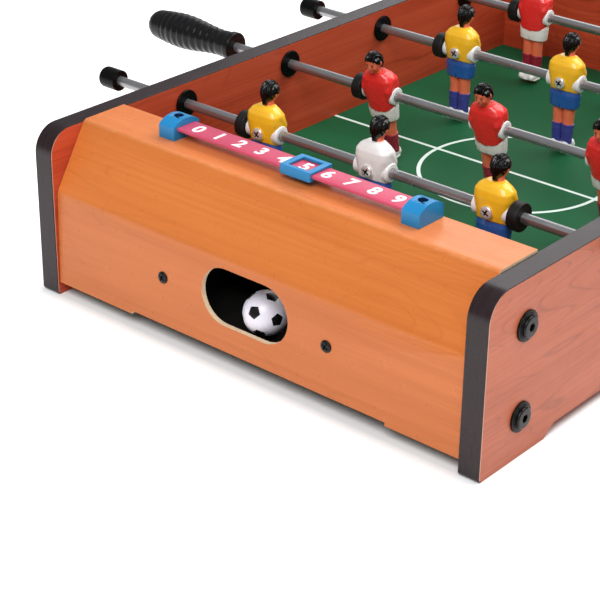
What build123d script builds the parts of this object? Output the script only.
from build123d import *
import math
import os

os.makedirs("parts", exist_ok=True)

# Tabletop foosball, 1 unit = 1 mm. X runs along the table, Y along the rods and Z up.
# The origin is the middle of the footprint, on the surface that the table stands on.
# Each end is laid out at the -X end, where "depth" is measured in from the end of the
# side panels, and the +X end is the same turned half a turn about Z.

# ---- cabinet ----
length = 496.0          # side panels, end to end
width = 310.0           # over the side panels
panel_t = 12.5          # side panel thickness
panel_h = 100.0         # side panel height
corner_r = 15.0         # upper corners of a side panel
toe_r = 2.5             # lower corners of a side panel
foot_len = 55.5         # level foot at each end of a side panel
foot_ramp = 9.0         # run of the slope beside a foot
foot_rise = 6.0         # clearance under the middle of a side panel
band_t = 0.6            # edge banding

sheet_t = 3.0           # folded end cover
cover_gap = 0.3         # from the cover's ends to the side panels
cover_low = 7.8         # lower edge of the cover
cover_low_depth = 1.8
cover_crease = 64.0     # height of the lower fold
cover_crease_depth = 3.4
cover_top = 101.1       # top of the ledge
ledge_front = 26.3      # depth of the upper fold
ledge_back = 56.8       # depth of the ledge's inner edge
cover_notch = (-95.5, 83.5)     # ends of the shallow notch in the cover's lower edge
cover_notch_h = 2.0

hole_w = 60.6           # ball return hole, a slot with round ends
hole_h = 33.0
hole_z = 41.6
end_screw_places = (-56.3, 59.6)    # cover screws each side of the hole
end_screw_z = 38.4
end_screw_r = 1.5

wall_t = 6.0            # goal wall under the ledge's inner edge
goal_w = 90.0
goal_h = 38.0
goal_r = 8.0

frame_t = 12.0          # cross frame that the corner bolts pull on
bolt_depth = 32.0       # depth of the bolts from the panel ends
bolt_heights = (23.8, 74.1)
frame_top = 88.0
window_w = 125.0
window_top = 80.0

tray_low = 14.3         # underside of the ball tray
tray_front_z = 18.3     # floor height at the cover
tray_back_z = 21.0      # floor height at the goal wall
tray_wall = 8.0
tray_w = 124.0
tray_wall_top = 46.0

# ---- pitch ----
pitch_top = 38.5
pitch_t = 3.2
groove_d = 4.0          # grooves in the side panels that hold the pitch board
batten_w = 18.0
batten_h = 20.0
batten_x = 95.0

# ---- fasteners ----
bolt_r = 3.0
bolt_hole_r = 3.3
bolt_head_r = 5.8
bolt_head_h = 1.45
bolt_head_round = 1.0
hex_flats = 4.0
hex_depth = 2.0
washer_r = 8.2          # broad lower step of a washer
washer_low_t = 1.1
washer_step_r = 6.9     # upper step
washer_t = 1.8
bolt_reach = 24.0       # thread past the side panel
nut_r = 5.0
nut_inset = 18.0        # barrel nut axis behind the side panel
pan_r = 3.4             # head of a cover screw
pan_h = 1.4
pan_round = 0.85
cover_screw_len = 16.0

# ---- rods ----
rod_r = 3.0
rod_z = 87.0
rod_pitch = 93.4        # from one rod to the next
running_gap = 0.08      # radial clearance of a rod in its bearings and bumpers
bush_r = 6.0
bush_flange_r = 8.5
bush_flange_t = 1.5

handle_start = 200.0    # distance of the handle from the middle of the rod
handle_len = 76.0
handle_bore = 36.0
handle_collar_r = 9.5
handle_waist_r = 8.6
handle_belly_r = 11.6
handle_heel_r = 11.0
end_cap_start = 200.0
end_cap_len = 14.0
end_cap_r = 6.5
end_cap_bore = 9.0

player_gap = 80.0       # between players on one rod
collar_r = 5.5
collar_len = 23.6
bumper_r = 8.0
bumper_len = 6.2
bumper_gap = 0.2
bumper_round = 0.5

player_screw_r = 1.25
player_screw_len = 8.6
player_screw_head_r = 3.65
player_screw_head_h = 1.4
back_face = 7.4         # back of a player's screw boss, behind the rod's axis
boss_r = 4.2
shirt_hem = -9.5        # heights on a player are above the rod's axis
shorts_hem = -16.8
ankle = -39.0
sole = -45.5
heel_x = -5.0
toe_x = 8.4

# ---- score counters ----
score_depth = 46.0      # middle of the bar, measured in from the panel ends
score_y = 3.3           # middle of the bar across the table
bar_w = 14.4
bar_t = 1.8
bar_z = 106.2           # underside of the bar
cap_len = 11.3
cap_w = 20.0
cap_shoulder = 108.6    # height where the cap's sides turn into its arch
cap_crown = 112.3
cap_inner = 78.3        # from the middle of the bar to the inner face of a cap
cap_hole_r = 2.7        # well for the screw's head, down to its seat
cap_seat = 107.0
cap_screw_head_r = 2.6
cap_screw_head_h = 1.6
cap_screw_len = 14.0
bar_insert = 2.5
digit_step = 15.3
marker_len = 20.8
marker_w = 18.2
marker_low = 104.4
marker_top = 109.8
marker_gap = 0.2
marker_window_len = 13.4
marker_window_w = 12.4

# ---- ball ----
ball_r = 12.4
ball_y = -1.5
ball_gap = 0.4          # between the ball and what it leans on

inner_y = width / 2 - panel_t
goal_x = length / 2 - ledge_back
wall_x = goal_x + wall_t
near_x = -length / 2

# One row for each rod: name, place along X, facing of its players (+1 towards +X), side of
# its handle, how far it is pushed along Y from its middle position, and its turn about Y.
rods = [
    ("yellow_goal", -1.5 * rod_pitch, 1, -1, -1.7, 0),
    ("red_attack", -0.5 * rod_pitch, -1, 1, -12.0, -14),
    ("yellow_attack", 0.5 * rod_pitch, 1, -1, -3.1, 0),
    ("red_goal", 1.5 * rod_pitch, -1, 1, 3.1, 0),
]
places = [("left", 1), ("middle", 0), ("right", -1)]


def block(x, y, z):
    """A box between two limits on each axis."""
    size = [b - a for a, b in (x, y, z)]
    centre = [(a + b) / 2 for a, b in (x, y, z)]
    return Pos(*centre) * Box(*size)


def rod_along_y(radius, y0, y1, x=0.0, z=0.0):
    """A cylinder along Y between two limits."""
    return Pos(x, (y0 + y1) / 2, z) * Rot(90, 0, 0) * Cylinder(radius, y1 - y0)


def rod_along_x(radius, x0, x1, y=0.0, z=0.0):
    """A cylinder along X between two limits."""
    return Pos((x0 + x1) / 2, y, z) * Rot(0, 90, 0) * Cylinder(radius, x1 - x0)


def both_ends(shape):
    """The near end's shape together with the same at the far end."""
    return [shape, far(shape)]


def far(shape):
    return Rot(0, 0, 180) * shape


def save(name, shapes):
    """Write one node; identical loose pieces share a node as separate solids."""
    if isinstance(shapes, list):
        solids = [solid for shape in shapes for solid in shape.solids()]
    else:
        solids = shapes.solids()
    node = solids[0] if len(solids) == 1 else Compound(children=solids)
    export_step(node, f"parts/{name}.step")


# ---- side panels ----
def panel_outline():
    """Side of the cabinet in the XZ plane, with two feet and round upper corners."""
    half = length / 2
    foot = half - foot_len
    ramp = foot - foot_ramp
    points = [(-half, 0), (-foot, 0), (-ramp, foot_rise), (ramp, foot_rise), (foot, 0), (half, 0)]
    points += [(half, panel_h), (-half, panel_h)]
    face = Plane.XZ * make_face(Polyline(*points, close=True))
    corners = face.vertices().filter_by(lambda v: abs(abs(v.X) - half) < 0.01)
    face = fillet(corners.filter_by(lambda v: v.Z > 1), corner_r)
    toes = face.vertices().filter_by(lambda v: v.Z < 0.01 and abs(abs(v.X) - half) < 0.01)
    return fillet(toes, toe_r)


def edge_band(outline):
    """Thin strip over the ends and top of the front side panel, down to the floor."""
    core = offset(outline, amount=-band_t)
    strip = extrude(outline - core, amount=panel_t)
    strip = Pos(0, -inner_y - strip.bounding_box().max.Y, 0) * strip
    under = length / 2 - toe_r
    return strip - block((-under, under), (-width, width), (-1, toe_r + foot_rise))


def side_panel(outline, band):
    """Front side panel with the pitch groove, bearing holes and bolt holes."""
    board = extrude(outline, amount=panel_t)
    board = Pos(0, -inner_y - board.bounding_box().max.Y, 0) * board
    board -= band
    groove = (-inner_y - groove_d, -inner_y)
    board -= block((-goal_x, goal_x), groove, (pitch_top - pitch_t, pitch_top))
    for rod in rods:
        board -= rod_along_y(bush_r, -width, 0, rod[1], rod_z)
    for sign in (-1, 1):
        for z in bolt_heights:
            board -= rod_along_y(bolt_hole_r, -width, 0, sign * (length / 2 - bolt_depth), z)
    return board


# ---- ends, laid out at -X ----
def inward(start, end):
    """Inward normal of a face of the cover that runs from one fold to the next."""
    run = end[0] - start[0]
    rise = end[1] - start[1]
    size = math.hypot(run, rise)
    return (rise / size, -run / size)


def mitre(corner, first, second):
    """Inner corner of a fold between faces that have these inward normals."""
    scale = sheet_t / (1 + first[0] * second[0] + first[1] * second[1])
    return (corner[0] + scale * (first[0] + second[0]), corner[1] + scale * (first[1] + second[1]))


def end_cover():
    """Sheet folded over the end box: leaning face, slope and level ledge."""
    a = (near_x + cover_low_depth, cover_low)
    b = (near_x + cover_crease_depth, cover_crease)
    c = (near_x + ledge_front, cover_top)
    d = (near_x + ledge_back, cover_top)
    normals = [inward(a, b), inward(b, c), inward(c, d)]
    inner_b = mitre(b, normals[0], normals[1])
    inner_c = mitre(c, normals[1], normals[2])
    points = [a, b, c, d, (d[0], d[1] - sheet_t), inner_c, inner_b, (a[0] + sheet_t, a[1])]
    section = Plane.XZ * make_face(Polyline(*points, close=True))
    sheet = extrude(section, amount=inner_y - cover_gap, both=True)
    sheet -= Pos(near_x, 0, hole_z) * slot_cutter(hole_w, hole_h)
    notch = (cover_low - 1, cover_low + cover_notch_h)
    sheet -= block((near_x, near_x + ledge_front), cover_notch, notch)
    for hole in at_cover_screws(rod_along_x(end_screw_r, -1, cover_screw_len)):
        sheet -= hole
    for y in cap_middles():
        sheet -= Pos(near_x + score_depth, y, cover_top) * Cylinder(end_screw_r, 4 * sheet_t)
    return sheet


def face_depth(z):
    """Depth of the cover's leaning face at a height."""
    part_way = (z - cover_low) / (cover_crease - cover_low)
    return cover_low_depth + part_way * (cover_crease_depth - cover_low_depth)


def at_cover_screws(piece):
    """Copies of a piece made along +X from the cover's face, at the near cover screws."""
    rise = cover_crease - cover_low
    lean = math.degrees(math.atan2(cover_crease_depth - cover_low_depth, rise))
    x = near_x + face_depth(end_screw_z)
    return [Pos(x, y, end_screw_z) * Rot(0, lean, 0) * piece for y in end_screw_places]


def slot_cutter(across, high):
    """Slot with round ends, cut along X."""
    return extrude(Plane.YZ * SlotOverall(across, high), amount=30, both=True)


def goal_wall():
    """Upright board with the goal mouth, from below the pitch to the ledge."""
    board = block((-wall_x, -goal_x), (-inner_y, inner_y), (cover_low, cover_top - sheet_t))
    mouth = block((-wall_x - 5, -goal_x + 5), (-goal_w / 2, goal_w / 2), (pitch_top, pitch_top + goal_h))
    corners = mouth.edges().filter_by(Axis.X).group_by(Axis.Z)[-1]
    return board - fillet(corners, goal_r)


def end_frame():
    """Cross board between the side panels, with a window that the tray passes through."""
    x = (near_x + bolt_depth - frame_t / 2, near_x + bolt_depth + frame_t / 2)
    board = block(x, (-inner_y, inner_y), (cover_low, frame_top))
    board -= block((x[0] - 1, x[1] + 1), (-window_w / 2, window_w / 2), (tray_low, window_top))
    for side in (-1, 1):
        for z in bolt_heights:
            ends = sorted((side * (inner_y + 1), side * (inner_y - bolt_reach)))
            board -= rod_along_y(bolt_r, ends[0], ends[1], near_x + bolt_depth, z)
            board -= rod_along_x(nut_r, x[0] - 1, x[1] + 1, side * (inner_y - nut_inset), z)
    return board


def tray_depth():
    """Depth of the tray's front, just behind the cover."""
    return face_depth(tray_wall_top) + sheet_t + 0.1


def ball_tray():
    """Trough that rolls a scored ball from the goal to the return hole."""
    x0 = near_x + tray_depth()
    x1 = -wall_x
    floor = [(x0, tray_low), (x1, tray_low), (x1, tray_back_z), (x0, tray_front_z)]
    base = Plane.XZ * make_face(Polyline(*floor, close=True))
    tray = extrude(base, amount=tray_w / 2, both=True)
    for side in (-1, 1):
        y = sorted((side * tray_w / 2, side * (tray_w / 2 - tray_wall)))
        tray += block((x0, x1), y, (tray_low, tray_wall_top))
    for hole in at_cover_screws(rod_along_x(end_screw_r, 0, cover_screw_len)):
        tray -= hole
    return tray


def end_screws():
    """Pan-head screws through the near cover into the tray's walls."""
    head = rod_along_x(pan_r, -pan_h, 0)
    head = fillet(head.edges().group_by(Axis.X)[0], pan_round)
    return at_cover_screws(head + rod_along_x(end_screw_r, 0, cover_screw_len))


# ---- pitch ----
def pitch_board():
    half = inner_y + groove_d
    return block((-goal_x, goal_x), (-half, half), (pitch_top - pitch_t, pitch_top))


def pitch_battens():
    under = pitch_top - pitch_t
    battens = []
    for x in (-batten_x, batten_x):
        along = (x - batten_w / 2, x + batten_w / 2)
        battens.append(block(along, (-inner_y, inner_y), (under - batten_h, under)))
    return battens


# ---- corner joints, front side panel at the near end ----
def corner_places():
    """X, Z and side of each of the eight corner bolts."""
    found = []
    for end in (-1, 1):
        for side in (-1, 1):
            for z in bolt_heights:
                found.append((end * (length / 2 - bolt_depth), z, side))
    return found


def corner_bolt():
    """Low-headed socket bolt along +Y, with the panel face at Y = 0."""
    top = -washer_t - bolt_head_h
    head = rod_along_y(bolt_head_r, top, -washer_t)
    head = fillet(head.edges().group_by(Axis.Y)[0], bolt_head_round)
    bolt = head + rod_along_y(bolt_r, -washer_t, panel_t + bolt_reach)
    key = extrude(Plane.XZ * RegularPolygon(hex_flats / 2, 6, major_radius=False), amount=hex_depth)
    return bolt - Pos(0, top + hex_depth, 0) * key


def corner_washer():
    """Broad washer in two steps, on the panel face at Y = 0."""
    ring = rod_along_y(washer_r, -washer_low_t, 0) + rod_along_y(washer_step_r, -washer_t, 0)
    return ring - rod_along_y(bolt_r, -washer_t - 1, 1)


def barrel_nut():
    """Cross nut in the end frame, threaded for the bolt along Y."""
    body = rod_along_x(nut_r, -frame_t / 2 + 0.5, frame_t / 2 - 0.5)
    return body - rod_along_y(bolt_r, -nut_r - 1, nut_r + 1)


def placed_at_corners(piece, y):
    """Copies of a piece made for the front panel, at all eight corner bolts."""
    copies = []
    for x, z, side in corner_places():
        turn = 0 if side < 0 else 180
        copies.append(Pos(x, side * y, z) * Rot(0, 0, turn) * piece)
    return copies


# ---- rods and bearings ----
def rod_bearing():
    """Flanged bush, made for the front panel: flange inside, plain nose outside."""
    outer = -width / 2 - bush_flange_t
    bush = rod_along_y(bush_r, outer, -inner_y)
    bush += rod_along_y(bush_flange_r, -inner_y, -inner_y + bush_flange_t)
    bush = fillet(bush.edges().group_by(Axis.Y)[-1].filter_by(GeomType.CIRCLE), 0.6)
    return bush - rod_along_y(rod_r + running_gap, outer - 1, -inner_y + bush_flange_t + 1)


def rod_bearings():
    """One bush for each rod in each side panel."""
    bush = rod_bearing()
    copies = []
    for rod in rods:
        copies.append(Pos(rod[1], 0, rod_z) * bush)
        copies.append(Pos(rod[1], 0, rod_z) * far(bush))
    return copies


def rod_bar(facing):
    """Steel rod with its handle end at -Y and cross holes for the player screws."""
    bar = rod_along_y(rod_r, -handle_start - handle_bore, end_cap_start + end_cap_bore)
    bar = chamfer(bar.edges().filter_by(GeomType.CIRCLE), 0.5)
    tip = back_face - player_screw_len
    for name, place in places:
        y = place * player_gap
        ends = sorted((-facing * back_face, -facing * tip))
        bar -= rod_along_x(player_screw_r, ends[0], ends[1], y)
    return bar


def handle():
    """Waisted grip with a collar at the table side and a round end, made at -Y."""
    y0 = handle_start
    y1 = handle_start + handle_len
    collar = (handle_collar_r, y0 + 5)
    heel = (handle_heel_r, y1 - 8)
    waist = (handle_waist_r, y0 + 12)
    belly = (handle_belly_r, y0 + 42)
    line = Polyline((0, y0), (handle_collar_r, y0), collar)
    line += Spline(collar, waist, belly, heel, tangents=[(-1, 0.6), (-0.3, 1)])
    line += Spline(heel, (7.5, y1 - 1.5), (0, y1), tangents=[(-0.3, 1), (-1, 0)])
    line += Line((0, y1), (0, y0))
    grip = revolve(make_face(line), Axis.Y)
    return Rot(0, 0, 180) * grip - rod_along_y(rod_r, -y0 - handle_bore, -y0 + 1)


def end_cap():
    """Cup that closes the free end of a rod, made at +Y."""
    cup = rod_along_y(end_cap_r, end_cap_start, end_cap_start + end_cap_len)
    cup = fillet(cup.edges().group_by(Axis.Y)[-1], 3.0)
    return cup - rod_along_y(rod_r, end_cap_start - 1, end_cap_start + end_cap_bore)


def bumper(side):
    """Rubber ring outside the outer player on one side."""
    start = player_gap + collar_len / 2 + bumper_gap
    ends = sorted((side * start, side * (start + bumper_len)))
    ring = rod_along_y(bumper_r, ends[0], ends[1])
    ring = fillet(ring.edges().filter_by(GeomType.CIRCLE), bumper_round)
    return ring - rod_along_y(rod_r + running_gap, ends[0] - 1, ends[1] + 1)


# ---- players, facing +X about the rod's axis ----
def rounded(deep, across, radius, x, z):
    """Rounded rectangle in a level plane, one section of a player's body."""
    return Plane((x, 0, z)) * RectangleRounded(deep, across, radius)


def torso():
    """Shirt, from its lower hem to the neck."""
    sections = [
        rounded(12.0, 19.0, 4.2, 0.0, shirt_hem),
        rounded(13.4, 20.8, 4.2, 0.0, -2.0),
        rounded(13.6, 23.2, 4.0, -0.2, 7.0),
        rounded(12.4, 22.6, 3.8, -0.2, 10.8),
        rounded(9.8, 18.6, 3.6, 0.1, 13.6),
        rounded(6.6, 11.4, 2.8, 0.6, 15.6),
    ]
    return loft(sections)


def arm(side):
    """Sleeve and forearm held against the body, bent at the elbow."""
    shoulder = Pos(-0.4, side * 7.8, 10.4) * Sphere(3.0)
    upper = Pos(1.2, side * 8.0, 7.4) * Rot(0, 30, 0) * Cylinder(2.7, 7.0)
    elbow = Pos(2.8, side * 8.2, 4.6) * Sphere(2.6)
    lower = Pos(3.2, side * 8.0, 1.6) * Rot(0, -10, 0) * Cylinder(2.4, 6.0)
    return [shoulder, upper, elbow, lower]


def head():
    """Neck, face and hair, leaning forward from the shirt."""
    neck = Pos(1.6, 0, 17.0) * Rot(0, 20, 0) * Cylinder(3.2, 6.0)
    face = Pos(3.0, 0, 22.8) * Sphere(5.0)
    hair = Pos(2.4, 0, 24.3) * Sphere(5.5)
    return [neck, face, hair]


def shorts():
    return loft([
        rounded(11.5, 21.0, 4.2, 0.2, shirt_hem),
        rounded(10.5, 19.6, 3.8, 0.4, shorts_hem),
    ])


def leg(side):
    """Thigh and shin, from inside the shorts to the shoe; the two legs are joined."""
    top = shorts_hem + 2
    return Pos(0.4, side * 3.6, (top + ankle) / 2) * Cone(3.8, 4.0, top - ankle)


def shoe(side):
    """Boot with a flat front for kicking."""
    middle = Pos((heel_x + toe_x) / 2, side * 3.9, (ankle + sole) / 2)
    return fillet((middle * Box(toe_x - heel_x, 8.2, ankle - sole)).edges(), 1.6)


def player():
    """One moulded player, with its collar around the rod."""
    body = rod_along_y(collar_r, -collar_len / 2, collar_len / 2)
    body += torso()
    body += shorts()
    for piece in head():
        body += piece
    for side in (-1, 1):
        for piece in arm(side):
            body += piece
        body += leg(side)
        body += shoe(side)
    body += rod_along_x(boss_r, -back_face, -4)
    body -= rod_along_y(rod_r, -collar_len, collar_len)
    body -= rod_along_x(player_screw_r, -back_face - 1, 0)
    return body


def player_screw():
    """Pan-head screw from a player's back into the rod."""
    head = rod_along_x(player_screw_head_r, -back_face - player_screw_head_h, -back_face)
    head = fillet(head.edges().group_by(Axis.X)[0], pan_round)
    tip = player_screw_len - back_face
    return head + rod_along_x(player_screw_r, -back_face, tip)


# ---- score counters, near end ----
def cap_middles():
    """Y of the two caps that hold the bar."""
    reach = cap_inner + cap_len / 2
    return [score_y - reach, score_y + reach]


def score_bar():
    x = near_x + score_depth
    reach = cap_inner + bar_insert
    return block((x - bar_w / 2, x + bar_w / 2), (score_y - reach, score_y + reach), (bar_z, bar_z + bar_t))


def score_caps():
    """Arched blocks on the ledge at both ends of the bar."""
    x = near_x + score_depth
    half = cap_w / 2
    line = Polyline((x + half, cap_shoulder), (x + half, cover_top), (x - half, cover_top), (x - half, cap_shoulder))
    line += ThreePointArc((x - half, cap_shoulder), (x, cap_crown), (x + half, cap_shoulder))
    arch = extrude(Plane.XZ * make_face(line), amount=cap_len / 2, both=True)
    caps = []
    for y in cap_middles():
        cap = Pos(0, y, 0) * arch
        cap -= Pos(x, y, cap_crown) * Cylinder(cap_hole_r, 2 * (cap_crown - cap_seat))
        cap -= Pos(x, y, cover_top) * Cylinder(end_screw_r, 2 * cap_screw_len)
        caps.append(cap - score_bar())
    return caps


def score_screw(y):
    """Screw down through a cap into the ledge."""
    middle = Pos(near_x + score_depth, y, cap_seat)
    head = Pos(0, 0, cap_screw_head_h / 2) * Cylinder(cap_screw_head_r, cap_screw_head_h)
    shank = Pos(0, 0, -cap_screw_len / 2) * Cylinder(end_screw_r, cap_screw_len)
    return middle * (head + shank)


def score_marker():
    """Square frame that slides on the bar and shows one number through its window."""
    x = near_x + score_depth
    y = score_y - digit_step / 2
    along = (y - marker_len / 2, y + marker_len / 2)
    frame = block((x - marker_w / 2, x + marker_w / 2), along, (marker_low, marker_top))
    frame = fillet(frame.edges().filter_by(Axis.Z), 0.8)
    half = bar_w / 2 + marker_gap
    channel = (bar_z - marker_gap, bar_z + bar_t + marker_gap)
    frame -= block((x - half, x + half), (along[0] - 1, along[1] + 1), channel)
    half_w = marker_window_w / 2
    half_l = marker_window_len / 2
    return frame - block((x - half_w, x + half_w), (y - half_l, y + half_l), (bar_z, marker_top + 1))


# ---- ball ----
def ball():
    """Ball lying at the bottom of the near tray, behind the return hole."""
    climb = (tray_back_z - tray_front_z) / (ledge_back - wall_t - tray_depth())
    lift = ball_r * math.hypot(1, climb) + ball_gap
    depth = face_depth(tray_front_z + lift) + sheet_t + ball_r + ball_gap
    floor = tray_front_z + climb * (depth - tray_depth())
    return Pos(near_x + depth, ball_y, floor + lift) * Sphere(ball_r)


def save_cabinet():
    outline = panel_outline()
    band = edge_band(outline)
    panel = side_panel(outline, band)
    save("side_panel_front", panel)
    save("side_panel_back", far(panel))
    save("edge_band_front", band)
    save("edge_band_back", far(band))
    for name, piece in (
        ("end_cover", end_cover()),
        ("goal_wall", goal_wall()),
        ("end_frame", end_frame()),
        ("ball_tray", ball_tray()),
        ("score_bar", score_bar()),
        ("score_marker", score_marker()),
    ):
        save(f"{name}_near", piece)
        save(f"{name}_far", far(piece))
    save("pitch_board", pitch_board())
    save("pitch_battens", pitch_battens())
    save("corner_bolts", placed_at_corners(corner_bolt(), width / 2))
    save("corner_washers", placed_at_corners(corner_washer(), width / 2))
    save("barrel_nuts", placed_at_corners(barrel_nut(), inner_y - nut_inset))
    save("end_screws", [piece for screw in end_screws() for piece in both_ends(screw)])
    save("rod_bearings", rod_bearings())
    save("score_caps", [piece for cap in score_caps() for piece in both_ends(cap)])
    save("score_screws", [piece for y in cap_middles() for piece in both_ends(score_screw(y))])
    save("ball", ball())


def save_rods():
    figure = player()
    screw = player_screw()
    grip = handle()
    cap = end_cap()
    for name, x, facing, side, push, spin in rods:
        here = Pos(x, push, rod_z) * Rot(0, spin, 0)
        turn = Rot(0, 0, 0 if side < 0 else 180)
        face = Rot(0, 0, 0 if facing > 0 else 180)
        save(f"{name}_rod", here * turn * rod_bar(-facing * side))
        save(f"{name}_handle", here * turn * grip)
        save(f"{name}_end_cap", here * turn * cap)
        save(f"{name}_bumpers", [here * bumper(-1), here * bumper(1)])
        screws = []
        for place_name, place in places:
            spot = here * Pos(0, place * player_gap, 0) * face
            save(f"{name}_player_{place_name}", spot * figure)
            screws.append(spot * screw)
        save(f"{name}_player_screws", screws)


save_cabinet()
save_rods()
